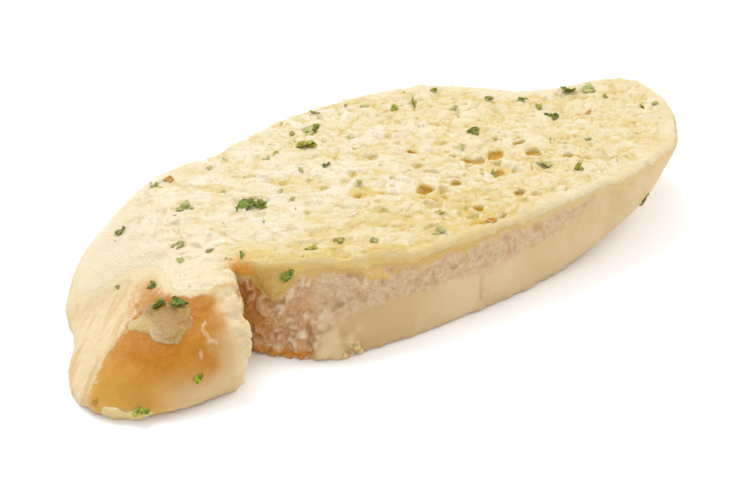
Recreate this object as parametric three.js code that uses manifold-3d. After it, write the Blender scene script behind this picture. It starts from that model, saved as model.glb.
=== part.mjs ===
// A slice of garlic bread: a French stick cut on the bias, spread with garlic butter and chopped parsley.
// Millimetres, +Z up. The slice lies on its lower cut face, its length along X and its torn side towards -Y.

import * as THREE from "three";
import { mergeVertices } from "three/addons/utils/BufferGeometryUtils.js";
import Module from "manifold-3d";

// Driving dimensions of the slice
const FACE_LENGTH = 135;
const FACE_WIDTH = 70;
const BREAD_THICKNESS = 17.6;
const BUTTER_THICKNESS = 1.1;
const BUTTER_GAP = 0.3;
const FOOT_RADIUS = 1.4;

// The loaf was cut on the bias: the slice leans this far sideways for each millimetre of height
const LEAN_X = 1.1;
const LEAN_Y = -0.15;

// Where the middle of the lower cut face lies, so that the whole slice is centred over the origin
const FACE_X = -9.8;
const FACE_Y = -1.0;

// The lower cut face, from the right tip and round the back. Each row: along and across, as shares of the
// length and width; the rounded upper edge's reach and drop; how far the wall stands out at the top, and at
// its belly; how far the butter runs, where 1 is the edge of the flat top, 2 the end of the rounding and 3
// the foot; and how far the browned crust stands up beside the pale split of the loaf.
const OUTLINE = [
  [0.52, 0.05, 2.0, 3.0, -1.5, 2.0, 1.7, 0],
  [0.497, 0.186, 2.0, 3.0, 0.0, 1.0, 1.7, 0],
  [0.434, 0.238, 2.0, 3.0, 0.0, 0.9, 1.7, 0],
  [0.36, 0.266, 2.0, 3.0, 0.0, 0.9, 1.7, 0],
  [0.3, 0.328, 2.0, 3.0, 0.0, 0.9, 1.7, 0],
  [0.232, 0.442, 2.0, 3.0, 0.0, 0.9, 1.7, 0],
  [0.143, 0.499, 2.0, 3.0, 1.5, 0.9, 1.7, 0],
  [0.024, 0.519, 2.0, 3.0, 2.1, 0.9, 1.7, 0],
  [-0.094, 0.504, 2.5, 3.5, 1.7, 0.9, 1.7, 0],
  [-0.198, 0.466, 3.0, 4.0, 0.0, 0.9, 1.8, 0],
  [-0.257, 0.429, 3.5, 4.0, 0.0, 0.9, 1.9, 0],
  [-0.336, 0.405, 4.0, 5.0, 1.5, 0.9, 2.0, 0],
  [-0.392, 0.296, 6.0, 7.0, 4.0, 0.9, 2.2, 0],
  [-0.438, 0.136, 11.0, 10.0, 2.0, 0.9, 2.5, 0],
  [-0.456, 0.0, 15.0, 12.0, 0.0, 0.9, 2.1, 0],
  [-0.504, -0.171, 17.0, 14.0, 0.0, 0.9, 1.5, 0],
  [-0.512, -0.309, 18.0, 15.0, 0.0, 0.9, 1.18, 1.1],
  [-0.47, -0.426, 18.0, 15.0, 0.0, 0.9, 1.12, 1.1],
  [-0.392, -0.47, 18.0, 15.0, 0.0, 0.9, 1.2, 0.8],
  [-0.316, -0.471, 15.0, 13.0, 0.0, 0.9, 1.3, 0],
  [-0.242, -0.478, 5.0, 5.0, -2.0, 0.9, 1.6, 0],
  [-0.15, -0.48, 4.5, 2.3, -4.7, 0.9, 1.9, 0],
  [0.01, -0.484, 4.0, 2.3, -5.8, 0.9, 1.9, 0],
  [0.194, -0.452, 3.6, 2.3, -5.1, 1.5, 1.9, 0],
  [0.35, -0.372, 2.6, 2.5, -3.5, 2.5, 1.8, 0],
  [0.455, -0.22, 2.0, 3.0, -2.0, 2.5, 1.8, 0],
];

// The torn notch in the near side. Each row: height as a share of the bread's, then in plan the notch's deep
// corner, where its left side leaves the slice, where its right side does, and the right side's outward bow
const TEAR = [
  [1.5, -41.8, -15.9, -45.4, -40.9, 5.2, -28.9, 0.0],
  [1.0, -41.8, -16.4, -45.9, -40.9, 3.7, -33.0, 1.0],
  [0.88, -41.8, -16.7, -46.2, -40.9, 3.0, -36.5, 1.6],
  [0.8, -41.8, -16.9, -46.4, -40.9, 2.2, -37.9, 3.0],
  [0.58, -41.8, -17.9, -47.0, -40.9, -1.8, -37.3, 4.0],
  [0.46, -41.9, -18.9, -47.4, -40.9, -17.8, -36.9, 2.5],
  [0.2, -42.0, -20.4, -49.6, -40.9, -21.8, -36.4, 1.5],
  [-0.2, -42.2, -21.9, -55.8, -38.9, -23.8, -35.9, 1.0],
];
const TEAR_POINTS = 9;
const TEAR_RAGGED = 1.0;
const TEAR_CLEAR = -60;

// Open pores of the crumb: [along, across, length, width, turn in degrees]
const PORES = [
  [8.1, -10.8, 5.0, 4.0, 40],
  [23.3, -5.5, 5.5, 2.2, -35],
  [28.9, -6.2, 5.5, 2.6, 25],
  [36.9, -9.2, 3.6, 2.6, 20],
  [36.7, -3.9, 3.6, 2.2, 10],
  [15.0, -12.3, 2.6, 2.2, 0],
  [25.6, -12.9, 3.0, 2.2, 30],
  [24.8, -22.3, 3.0, 2.0, 15],
  [14.1, -23.4, 2.6, 2.0, 0],
  [14.3, 4.9, 3.0, 2.2, -20],
  [43.2, -14.4, 2.6, 2.0, 30],
];
const PORE_DEPTH = 2.6;

// Chopped parsley on the butter: [along, across, size, turn in degrees]
const PARSLEY = [
  [-28.4, 2.0, 3.6, 20], [-26.0, 0.6, 3.4, 80], [0.2, 24.7, 3.2, 10], [-1.6, 23.7, 2.6, 60],
  [-5.3, 18.3, 3.4, 0], [4.2, 31.1, 2.0, 40], [15.8, 28.9, 2.2, 0], [26.2, 24.0, 2.4, 30],
  [33.2, 26.7, 2.4, 70], [42.0, 16.6, 2.2, 15], [48.3, 12.7, 2.4, 0], [49.5, 7.2, 2.2, 50],
  [49.9, 2.5, 2.6, 20], [59.8, 10.7, 3.0, 80], [64.4, 8.9, 3.0, 30], [66.0, 4.5, 1.8, 0],
  [30.8, 5.9, 3.0, 10], [24.1, -0.3, 2.0, 45], [35.9, -15.3, 2.8, 10], [40.5, -21.0, 2.6, 60],
  [1.7, -27.4, 2.6, 70], [5.5, -21.2, 1.8, 20], [13.4, -28.9, 1.8, 0], [-18.1, -20.0, 2.0, 0],
  [-24.4, -20.0, 2.0, 35], [-11.7, -23.7, 1.8, 10], [-42.4, -9.6, 1.8, 0], [-46.6, -3.2, 2.0, 50],
  [-55.6, -9.4, 2.4, 20], [-53.1, 12.1, 2.6, 70], [-41.0, 20.6, 2.2, 30], [-39.9, 7.3, 2.8, 25],
  [-2.8, -1.5, 2.0, 0], [-5.4, 8.5, 2.0, 15],
];
const PARSLEY_THICKNESS = 0.6;
const PARSLEY_FOLD = 0.22;

// Parsley stuck to the bare crust of the near side: [along, height, size, turn in degrees]
const CRUST_PARSLEY = [[-57.8, 7.3, 2.4, 30], [-76.2, 3.0, 2.0, 70], [56.2, 9.0, 2.4, 60]];

// Dabs of butter on the crust: name, middle, half-sizes, turn in degrees and the parsley on top
const DABS = [
  [
    "butter_dab_crust",
    [-59.2, -22.8, 12.7],
    [5.4, 4.6, 2.1],
    20,
    [[-57.6, -21.1, 3.4, 10], [-60.0, -21.6, 2.8, 60]],
  ],
  ["butter_dab_foot", [-71.4, -31.5, 1.5], [5.4, 1.8, 1.4], -40, [[-69.6, -33.1, 2.6, 20]]],
];

// Facets: steps round the outline, and rings over the top, the rounded edge, the wall and the foot
const STEPS = 84;
const TOP_RINGS = 2;
const EDGE_RINGS = 6;
const WALL_RINGS = 3;
const FOOT_RINGS = 2;
const BUTTER_TOP_RINGS = 8;
const BUTTER_EDGE_RINGS = 5;
const SHORT_EDGE = 0.08;

const wasm = await Module();
wasm.setup();

const lerp = THREE.MathUtils.lerp;
const smooth = THREE.MathUtils.smoothstep;
const numbers = (count) => [...Array(count).keys()];

// A closed geometry as a solid that can be joined and cut
function solidOf(geometry) {
  const bare = geometry.clone();
  bare.deleteAttribute("normal");
  bare.deleteAttribute("uv");
  const merged = mergeVertices(bare, 1e-3);
  return new wasm.Manifold(
    new wasm.Mesh({
      numProp: 3,
      vertProperties: new Float32Array(merged.attributes.position.array),
      triVerts: new Uint32Array(merged.index.array),
    }),
  );
}

// Merges the ends of edges shorter than the limit, which cuts leave where two surfaces cross. An edge is
// merged only where its ends share exactly two neighbours, so that the surface stays closed.
function mergeShortEdges(points, faces) {
  const facesOf = points.map(() => new Set());
  faces.forEach((face, i) => face.forEach((corner) => facesOf[corner].add(i)));
  const neighbours = (corner) => {
    const around = [...facesOf[corner]].flatMap((i) => faces[i]);
    return new Set(around.filter((other) => other !== corner));
  };
  for (const i of faces.keys()) {
    for (const side of [0, 1, 2]) {
      if (!faces[i]) break;
      const [kept, gone] = [faces[i][side], faces[i][(side + 1) % 3]];
      if (points[kept].distanceTo(points[gone]) > SHORT_EDGE) continue;
      const around = neighbours(gone);
      if ([...neighbours(kept)].filter((corner) => around.has(corner)).length !== 2) continue;
      for (const j of [...facesOf[gone]]) {
        if (faces[j].includes(kept)) {
          faces[j].forEach((corner) => facesOf[corner].delete(j));
          faces[j] = null;
        } else {
          faces[j] = faces[j].map((corner) => (corner === gone ? kept : corner));
          facesOf[kept].add(j);
        }
      }
      facesOf[gone].clear();
    }
  }
  return faces.filter(Boolean);
}

// A solid's largest body as a geometry: loose scraps left by a cut are dropped
function geometryOf(solid) {
  const mesh = solid.getMesh();
  const points = numbers(mesh.numVert).map((i) => new THREE.Vector3().fromArray(mesh.vertProperties, 3 * i));
  const faces = numbers(mesh.numTri).map((i) => [...mesh.triVerts.slice(3 * i, 3 * i + 3)]);
  const merged = new THREE.BufferGeometry().setFromPoints(points);
  merged.setIndex(mergeShortEdges(points, faces).flat());
  const bodies = solidOf(merged).decompose();
  const largest = bodies.sort((a, b) => b.volume() - a.volume())[0].getMesh();
  const geometry = new THREE.BufferGeometry();
  geometry.setAttribute("position", new THREE.Float32BufferAttribute(largest.vertProperties, 3));
  geometry.setIndex(Array.from(largest.triVerts));
  geometry.computeVertexNormals();
  return geometry;
}

// Smooth noise from -1 to 1, the same on every run, with lumps of the given size
function lumps(x, y, z, size) {
  const cell = [x / size, y / size, z / size];
  const corner = cell.map(Math.floor);
  const part = cell.map((value, i) => smooth(value - corner[i], 0, 1));
  let sum = 0;
  for (let i = 0; i < 8; i++) {
    const bit = [i & 1, (i >> 1) & 1, (i >> 2) & 1];
    const at = corner.map((value, axis) => value + bit[axis]);
    const mix = Math.sin(at[0] * 127.1 + at[1] * 311.7 + at[2] * 74.7);
    const value = (mix * 43758.5453) % 1;
    sum += value * bit.reduce((weight, b, axis) => weight * (b ? part[axis] : 1 - part[axis]), 1);
  }
  return sum;
}

// The outline as even steps, each with the direction that it faces and its row's sizes
const onFace = (along, across) =>
  new THREE.Vector3(FACE_X + along * FACE_LENGTH, FACE_Y + across * FACE_WIDTH, 0);
const faceCurve = new THREE.CatmullRomCurve3(
  OUTLINE.map(([along, across]) => onFace(along, across)),
  true,
  "centripetal",
);
const facing = numbers(STEPS).map((step) => {
  const t = faceCurve.getUtoTmapping(step / STEPS);
  const tangent = faceCurve.getTangent(t);
  const place = t * OUTLINE.length;
  const from = OUTLINE[Math.floor(place) % OUTLINE.length];
  const to = OUTLINE[(Math.floor(place) + 1) % OUTLINE.length];
  const sizes = from.map((value, i) => lerp(value, to[i], smooth(place % 1, 0, 1)));
  const [reach, drop, flare, belly, spread, ear] = sizes.slice(2);
  const outward = new THREE.Vector3(tangent.y, -tangent.x, 0);
  return { point: faceCurve.getPoint(t), outward, reach, drop, flare, belly, spread, ear };
});

// Each step's outward direction, averaged over a stretch of its own reach so that a wide rounding never folds
const stride = faceCurve.getLength() / STEPS;
const outline = facing.map((row, step) => {
  const span = Math.round(row.reach / stride);
  const near = numbers(2 * span + 1).map((i) => facing[(step + i - span + STEPS) % STEPS].outward);
  const outward = near.reduce((sum, direction) => sum.add(direction), new THREE.Vector3()).normalize();
  return { ...row, outward };
});
const faceMiddle = onFace(0.03, 0);

// A point of the bread's skin. Along runs 0 to 1 over the top from its middle, to 2 round the upper edge,
// to 3 down the wall and to 4 round the foot.
function breadSkin(step, along) {
  const { point, outward, reach, drop, flare, belly, ear } = outline[(step + STEPS) % STEPS];
  const wallTop = BREAD_THICKNESS - drop;
  let inset = reach;
  let z = BREAD_THICKNESS;
  if (along > 3) {
    const turn = ((along - 3) * Math.PI) / 2;
    inset = FOOT_RADIUS * (1 - Math.cos(turn));
    z = FOOT_RADIUS * (1 - Math.sin(turn));
  } else if (along > 2) {
    inset = -belly * 4 * (along - 2) * (3 - along);
    z = lerp(wallTop, FOOT_RADIUS, along - 2);
  } else if (along > 1) {
    const turn = ((along - 1) * Math.PI) / 2;
    inset = reach * (1 - Math.sin(turn));
    z = wallTop + drop * Math.cos(turn);
  }
  inset -= ear * smooth(along, 1.3, 1.5) * (1 - smooth(along, 2.2, 3));
  const skin = point.clone().addScaledVector(outward, (flare * z) / BREAD_THICKNESS - inset);
  if (along < 1) skin.lerp(faceMiddle, 1 - along);
  return new THREE.Vector3(skin.x + LEAN_X * z, skin.y + LEAN_Y * z, z);
}

// The same point, moved off the skin by a distance
function offSkin(step, along, distance) {
  const { outward, reach, drop } = outline[(step + STEPS) % STEPS];
  const turn = (THREE.MathUtils.clamp(along - 1, 0, 1) * Math.PI) / 2;
  const normal = outward.clone().multiplyScalar(Math.sin(turn) / reach);
  normal.z = (Math.cos(turn) / drop - LEAN_X * normal.x - LEAN_Y * normal.y) * (1 - smooth(along, 2, 2.3));
  return breadSkin(step, along).addScaledVector(normal.normalize(), distance);
}

// A closed skin over rings of points, from the top down, each end closed by a fan from one point
function skinOver(first, rings, last) {
  const count = rings[0].length;
  const points = [first, ...rings.flat(), last];
  const index = [];
  const at = (ring, step) => 1 + ring * count + (step % count);
  for (let step = 0; step < count; step++) {
    index.push(0, at(0, step), at(0, step + 1));
    index.push(points.length - 1, at(rings.length - 1, step + 1), at(rings.length - 1, step));
    for (let ring = 0; ring + 1 < rings.length; ring++) {
      const [a, b] = [at(ring, step), at(ring, step + 1)];
      const [c, d] = [at(ring + 1, step), at(ring + 1, step + 1)];
      index.push(a, c, b, b, c, d);
    }
  }
  const geometry = new THREE.BufferGeometry().setFromPoints(points);
  geometry.setIndex(index);
  return geometry;
}

// The whole loaf slice before it was torn, grown by a distance
function wholeBread(grow) {
  const stations = [
    ...numbers(TOP_RINGS).map((i) => (i + 1) / TOP_RINGS),
    ...numbers(EDGE_RINGS).map((i) => 1 + (i + 1) / EDGE_RINGS),
    ...numbers(WALL_RINGS).map((i) => 2 + (i + 1) / WALL_RINGS),
    ...numbers(FOOT_RINGS).map((i) => 3 + (i + 1) / FOOT_RINGS),
  ];
  const rings = stations.map((along) => numbers(STEPS).map((step) => offSkin(step, along, grow)));
  const foot = new THREE.Vector3(faceMiddle.x, faceMiddle.y, -grow);
  for (const point of rings.at(-1)) point.z = -grow;
  return solidOf(skinOver(offSkin(0, 0, grow), rings, foot));
}

// What was torn away, shrunk by a distance so that the torn faces come out that much further
function tornAway(shrink) {
  const intoLeft = new THREE.Vector3(shrink, 0, 0);
  const intoRight = new THREE.Vector3(-0.42 * shrink, -0.9 * shrink, 0);
  const rings = TEAR.map(([height, cornerX, cornerY, leftX, leftY, rightX, rightY, bow]) => {
    const z = height * BREAD_THICKNESS;
    const ragged = (point) => TEAR_RAGGED * lumps(point.x, point.y, z, 3);
    const corner = new THREE.Vector3(cornerX, cornerY, z);
    const left = new THREE.Vector3(leftX, leftY, z);
    const right = new THREE.Vector3(rightX, rightY, z);
    const leftSide = numbers(TEAR_POINTS).map((i) => {
      const point = corner.clone().lerp(left, (i + 1) / TEAR_POINTS);
      point.x += ragged(point);
      return point.add(intoLeft);
    });
    const rightSide = numbers(TEAR_POINTS).map((i) => {
      const part = 1 - i / TEAR_POINTS;
      const point = corner.clone().lerp(right, part);
      const push = bow * 4 * part * (1 - part) - ragged(point);
      return point.add(new THREE.Vector3(-0.42 * push, -0.9 * push, 0)).add(intoRight);
    });
    const mouth = [leftX, rightX].map((x) => new THREE.Vector3(x, TEAR_CLEAR, z));
    return [corner.add(intoLeft).add(intoRight), ...leftSide, ...mouth, ...rightSide];
  });
  const middle = (ring) => new THREE.Vector3(-22, -49, ring[0].z);
  return solidOf(skinOver(middle(rings[0]), rings, middle(rings.at(-1))));
}

// A ball squashed to half-sizes, turned about the vertical and set in place
function lens(halfX, halfY, halfZ, turn, place) {
  const ball = new THREE.SphereGeometry(1, 10, 7);
  ball.rotateX(Math.PI / 2);
  ball.scale(halfX, halfY, halfZ);
  ball.rotateZ(THREE.MathUtils.degToRad(turn));
  ball.translate(place.x, place.y, place.z);
  return solidOf(ball);
}

const pores = PORES.map(([x, y, length, width, turn]) =>
  lens(length / 2, width / 2, PORE_DEPTH, turn, new THREE.Vector3(x, y, BREAD_THICKNESS + 0.4)),
);
const withPores = (solid) => pores.reduce((left, pore) => left.subtract(pore), solid);

const tornBread = wholeBread(0).subtract(tornAway(0));
const breadSolid = withPores(tornBread);

// The butter: a skin over the top and down its edge to each step's spread, then turned in under the bread
function butterOver() {
  const height = (point, share) => {
    const relief = 0.3 * lumps(point.x, point.y, 0, 7) + 0.15 * lumps(point.x, point.y, 5, 3);
    return BUTTER_GAP + BUTTER_THICKNESS * share + relief * smooth(share, 0.8, 1);
  };
  const rings = [];
  for (const i of numbers(BUTTER_TOP_RINGS)) {
    const along = (i + 1) / BUTTER_TOP_RINGS;
    rings.push(numbers(STEPS).map((step) => offSkin(step, along, height(breadSkin(step, along), 1))));
  }
  for (const i of numbers(BUTTER_EDGE_RINGS)) {
    const part = (i + 1) / BUTTER_EDGE_RINGS;
    const ring = numbers(STEPS).map((step) => {
      const { point, spread } = outline[step];
      const end = spread + 0.12 * lumps(point.x, point.y, 3, 9) + 0.06 * lumps(point.x, point.y, 8, 4);
      const along = lerp(1, end, Math.min(part * 1.15, 1));
      const skin = breadSkin(step, along);
      return offSkin(step, along, part < 1 ? height(skin, 1 - 0.35 * part ** 3) : -0.8);
    });
    rings.push(ring);
  }
  const under = new THREE.Vector3(FACE_X + LEAN_X * 10, FACE_Y, 10);
  return solidOf(skinOver(offSkin(0, 0, BUTTER_GAP + BUTTER_THICKNESS), rings, under));
}

const breadRoom = wholeBread(BUTTER_GAP).subtract(tornAway(BUTTER_GAP));
const drip = lens(4.9, 2.0, 4.6, -38, new THREE.Vector3(-33.6, -21.6, 15.0));
const drop = lens(2.6, 1.7, 4.2, -38, new THREE.Vector3(-33.0, -22.6, 12.0));
const butterBare = withPores(butterOver().subtract(tornAway(0)).add(drip).add(drop).subtract(breadRoom));

// One flake of parsley: a ragged six-sided leaf scrap, folded along its middle
function flake(size, turn, place, normal) {
  const ragged = (i) => 0.5 * size * (0.75 + 0.3 * lumps(place.x + 3 * i, place.y, turn, 2));
  const edge = numbers(6).map((i) => {
    const angle = (i * Math.PI) / 3;
    return new THREE.Vector2(ragged(i) * Math.cos(angle) * 1.15, ragged(i) * Math.sin(angle) * 0.85);
  });
  const sheet = { depth: PARSLEY_THICKNESS, bevelEnabled: false };
  const leaf = new THREE.ExtrudeGeometry(new THREE.Shape(edge), sheet);
  const position = leaf.attributes.position;
  for (const i of numbers(position.count)) {
    position.setZ(i, position.getZ(i) + PARSLEY_FOLD * Math.abs(position.getY(i)));
  }
  leaf.translate(0, 0, -0.25);
  leaf.rotateZ(THREE.MathUtils.degToRad(turn));
  leaf.applyQuaternion(new THREE.Quaternion().setFromUnitVectors(new THREE.Vector3(0, 0, 1), normal));
  leaf.translate(place.x, place.y, place.z);
  return solidOf(leaf);
}

// A flake where a ray first meets a solid's surface
function flakeOn(face, from, towards, size, turn) {
  const hit = new THREE.Raycaster(from, towards).intersectObject(face)[0];
  return flake(size, turn, hit.point, hit.face.normal);
}
const faceOf = (solid) => new THREE.Mesh(geometryOf(solid), new THREE.MeshStandardMaterial());
const joined = (solid, pieces) => pieces.reduce((whole, piece) => whole.add(piece), solid);
const down = new THREE.Vector3(0, 0, -1);
const back = new THREE.Vector3(0, 1, 0);

function withParsley(solid, list) {
  const face = faceOf(solid);
  const above = (x, y) => new THREE.Vector3(x, y, 3 * BREAD_THICKNESS);
  const flakes = list.map(([x, y, size, turn]) => flakeOn(face, above(x, y), down, size, turn));
  return joined(solid, flakes.map((leaf) => leaf.subtract(breadRoom)));
}
const crustFace = faceOf(tornBread);
const crustFlakes = CRUST_PARSLEY.map(([x, z, size, turn]) =>
  flakeOn(crustFace, new THREE.Vector3(x, -FACE_WIDTH, z), back, size, turn),
);

function dab([name, middle, half, turn, parsley]) {
  const blob = lens(...half, turn, new THREE.Vector3(...middle)).subtract(breadRoom);
  return named(name, withParsley(blob, parsley), BUTTER_LOOK);
}

const BREAD_LOOK = { color: 0xdcb878, roughness: 0.8, metalness: 0 };
const BUTTER_LOOK = { color: 0xf6e6b8, roughness: 0.45, metalness: 0 };

function named(name, solid, look) {
  const mesh = new THREE.Mesh(geometryOf(solid), new THREE.MeshStandardMaterial(look));
  mesh.name = name;
  return mesh;
}

const slice = new THREE.Group();
slice.add(named("bread_slice", joined(breadSolid, crustFlakes), BREAD_LOOK));
slice.add(named("garlic_butter", withParsley(butterBare, PARSLEY), BUTTER_LOOK));
slice.add(...DABS.map(dab));

export default slice;
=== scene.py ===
# %% [markdown]
# # A slice of garlic bread
# The part is one slice of a French stick, cut on the bias, spread with garlic butter and chopped parsley.
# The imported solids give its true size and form. Here each solid gets the surface that a baker would know:
# browned crust, torn crumb, soft butter that has run into the pores, and crinkled scraps of leaf.

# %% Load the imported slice
import itertools
import math

import bmesh
import bpy
import numpy as np
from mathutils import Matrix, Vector
from mathutils.bvhtree import BVHTree
from mathutils.kdtree import KDTree


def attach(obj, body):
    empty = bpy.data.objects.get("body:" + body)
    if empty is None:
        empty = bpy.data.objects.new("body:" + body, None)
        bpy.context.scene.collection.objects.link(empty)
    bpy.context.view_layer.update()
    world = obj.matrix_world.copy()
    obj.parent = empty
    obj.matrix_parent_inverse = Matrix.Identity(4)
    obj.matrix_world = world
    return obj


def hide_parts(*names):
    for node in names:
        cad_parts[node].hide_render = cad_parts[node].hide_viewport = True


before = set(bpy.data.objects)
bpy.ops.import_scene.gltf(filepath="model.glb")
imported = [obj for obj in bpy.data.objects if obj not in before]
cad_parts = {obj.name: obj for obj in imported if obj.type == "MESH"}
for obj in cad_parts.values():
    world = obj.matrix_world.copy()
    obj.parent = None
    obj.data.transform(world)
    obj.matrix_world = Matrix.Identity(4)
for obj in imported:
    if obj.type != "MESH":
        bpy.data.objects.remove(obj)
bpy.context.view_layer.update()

MM = 0.001
print("nodes:", sorted(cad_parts))

# %% [markdown]
# ## The camera
# A food photograph is taken with a long lens from a little above the table. The camera is set by its angles
# and its distance, because those are easy to compare with a photograph.

# %% Camera
CAMERA_AZIMUTH = math.radians(-30)
CAMERA_ELEVATION = math.radians(32)
CAMERA_DISTANCE = 460 * MM
CAMERA_TARGET = Vector((1.5, -0.9, 0)) * MM
LENS_LENGTH = 100
SENSOR_WIDTH = 36

lens = bpy.data.cameras.new("camera")
lens.lens = LENS_LENGTH
lens.sensor_fit = "HORIZONTAL"
lens.sensor_width = SENSOR_WIDTH
camera = bpy.data.objects.new("camera", lens)
bpy.context.scene.collection.objects.link(camera)
towards_camera = Vector((
    math.sin(CAMERA_AZIMUTH) * math.cos(CAMERA_ELEVATION),
    -math.cos(CAMERA_AZIMUTH) * math.cos(CAMERA_ELEVATION),
    math.sin(CAMERA_ELEVATION),
))
camera.location = CAMERA_TARGET + towards_camera * CAMERA_DISTANCE
camera.rotation_euler = towards_camera.to_track_quat("Z", "Y").to_euler()
bpy.context.scene.camera = camera
print("camera at", [round(value, 3) for value in camera.location])

# %% [markdown]
# ## Shader maths as Python
# A material is a graph of nodes. Written node by node it is hard to read, so one small class wraps a socket
# and turns arithmetic on it into Math nodes. Colours are blended by a mask, because a Math node would turn
# them grey.

# %% The socket class
class Shade:
    """One socket of a material's graph. Arithmetic on it adds Math nodes."""

    def __init__(self, tree, socket=None):
        self.tree = tree
        self.socket = socket

    def node(self, kind, settings, sockets, output=0):
        """Adds any node: its settings first, then the values or links of its sockets."""
        made = self.tree.nodes.new(kind)
        for name, value in settings.items():
            setattr(made, name, value)
        for name, value in sockets.items():
            if isinstance(value, Shade):
                self.tree.links.new(value.socket, made.inputs[name])
            else:
                made.inputs[name].default_value = value
        return Shade(self.tree, made.outputs[output])

    def math(self, operation, first, second):
        return self.node("ShaderNodeMath", {"operation": operation}, {0: first, 1: second})

    def __add__(self, other):
        return self.math("ADD", self, other)

    def __sub__(self, other):
        return self.math("SUBTRACT", self, other)

    def __rsub__(self, other):
        return self.math("SUBTRACT", other, self)

    def __mul__(self, other):
        return self.math("MULTIPLY", self, other)

    __radd__ = __add__
    __rmul__ = __mul__

    def rise(self, low, high):
        """0 below low, 1 above high, and smooth between."""
        settings = {"interpolation_type": "SMOOTHSTEP"}
        sockets = {"Value": self, "From Min": low, "From Max": high}
        return self.node("ShaderNodeMapRange", settings, sockets, "Result")

    def broken(self, size):
        """This mask with its edges broken up by noise of a size in metres."""
        return (self + (self.grain(size, 4) - 0.5) * 0.9).rise(0.3, 0.7)

    def blend(self, first, second):
        """The first colour where this mask is 0, the second where it is 1."""
        sockets = {"Factor": self, 6: first, 7: second}
        return self.node("ShaderNodeMix", {"data_type": "RGBA"}, sockets, 2)

    def mask(self, name):
        """A number that the mesh stores at each point."""
        return self.node("ShaderNodeAttribute", {"attribute_name": name}, {}, "Fac")

    def grain(self, size, detail=3.0):
        """Noise from 0 to 1 with grains of a size in metres."""
        place = self.node("ShaderNodeTexCoord", {}, {}, "Object")
        return self.node("ShaderNodeTexNoise", {}, {"Vector": place, "Scale": 1 / size, "Detail": detail})


# %% [markdown]
# Every finish here is one Principled shader. Numbers that are the same all over are set on its sockets, and
# only colour, roughness and bump change over the surface.

# %% A finish from its parts
EXPOSED = 0.68


def colour(red, green, blue):
    """The shader's linear numbers for a colour, from 0 to 255, as it looks in this bright light."""
    shares = [value / 255 for value in (red, green, blue)]
    linear = [s / 12.92 if s < 0.04 else ((s + 0.055) / 1.055) ** 2.4 for s in shares]
    return [EXPOSED * value for value in linear] + [1]


def new_finish(name):
    """A material, its Principled shader and an empty socket to start expressions from."""
    material = bpy.data.materials.new(name)
    material.use_nodes = True
    shader = material.node_tree.nodes["Principled BSDF"]
    return material, shader, Shade(material.node_tree)


def drive(shader, start, name, value):
    """Links an expression to one of the shader's inputs."""
    start.tree.links.new(value.socket, shader.inputs[name])


def bump(shader, start, height, depth):
    """Fine relief that is too small for the mesh; depth is in metres."""
    sockets = {"Height": height, "Distance": depth}
    drive(shader, start, "Normal", start.node("ShaderNodeBump", {}, sockets))


# %% [markdown]
# ## Studio
# The slice lies on a plain pale surface. A broad light above and behind makes the top bright and leaves the
# near side in soft shade. Two weaker ones, from the right and from the front, and a pale sky fill that
# shade. Bare lamps would throw hard shadows, so all three are area lights. Their places are in metres and
# their powers in watts.

# %% Floor and light
FLOOR_HALF = 2.0
FLOOR_COLOUR = (0.95, 0.95, 0.95, 1)
SKY_COLOUR = (1, 1, 1, 1)
SKY_STRENGTH = 0.8
SOFTBOX_SIZE = 0.6
SOFTBOXES = {
    "key": ((-0.05, 0.5, 0.7), 5.6),
    "right": ((0.65, -0.1, 0.5), 2.6),
    "front": ((-0.45, -0.65, 0.4), 1.8),
}

scene = bpy.context.scene
scene.view_settings.view_transform = "Standard"
floor_mesh = bpy.data.meshes.new("floor")
corners = [(-FLOOR_HALF, -FLOOR_HALF, 0), (FLOOR_HALF, -FLOOR_HALF, 0), (FLOOR_HALF, FLOOR_HALF, 0)]
floor_mesh.from_pydata(corners + [(-FLOOR_HALF, FLOOR_HALF, 0)], [], [(0, 1, 2, 3)])
floor = bpy.data.objects.new("floor", floor_mesh)
scene.collection.objects.link(floor)
floor_finish, floor_shader, _ = new_finish("pale table")
floor_shader.inputs["Base Color"].default_value = FLOOR_COLOUR
floor_shader.inputs["Roughness"].default_value = 0.9
floor_shader.inputs["Specular IOR Level"].default_value = 0.1
floor_mesh.materials.append(floor_finish)

world = bpy.data.worlds.new("sky")
scene.world = world
world.use_nodes = True
world.node_tree.nodes["Background"].inputs["Color"].default_value = SKY_COLOUR
world.node_tree.nodes["Background"].inputs["Strength"].default_value = SKY_STRENGTH


def softbox(name, place, power):
    """A square area light that faces the slice."""
    light = bpy.data.lights.new(name, "AREA")
    light.size = SOFTBOX_SIZE
    light.energy = power
    lamp = bpy.data.objects.new(name, light)
    lamp.location = place
    lamp.rotation_euler = Vector(place).to_track_quat("Z", "Y").to_euler()
    scene.collection.objects.link(lamp)


for name, (place, power) in SOFTBOXES.items():
    softbox(name, place, power)
print("studio: floor, sky and softboxes", list(SOFTBOXES))

# %% [markdown]
# ## Noise from arrays
# Bread is uneven at every scale. Lumps are smooth noise. Bubbles measure how far each point is from a
# scattered set of centres, which gives the round cells of a crumb. A displace modifier could add such
# relief too, but the masks of the colours need the same noise, so it is worked out in arrays. It depends
# only on the place and a seed, so the slice is the same on every run.

# %% Lumps and bubbles
CELL_WEIGHTS = np.array([127.1, 311.7, 74.7])
SEED_WEIGHT = 19.19
SCATTERED = 43758.5453


def smooth(value, low, high):
    """0 at low, 1 at high, and smooth between; low may be the larger."""
    part = np.clip((value - low) / (high - low), 0, 1)
    return part * part * (3 - 2 * part)


def scatter(cells, seed):
    """A number from 0 to 1 for each cell of a grid."""
    mixed = cells @ CELL_WEIGHTS + SEED_WEIGHT * seed
    return np.modf(np.abs(np.sin(mixed) * SCATTERED))[0]


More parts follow.
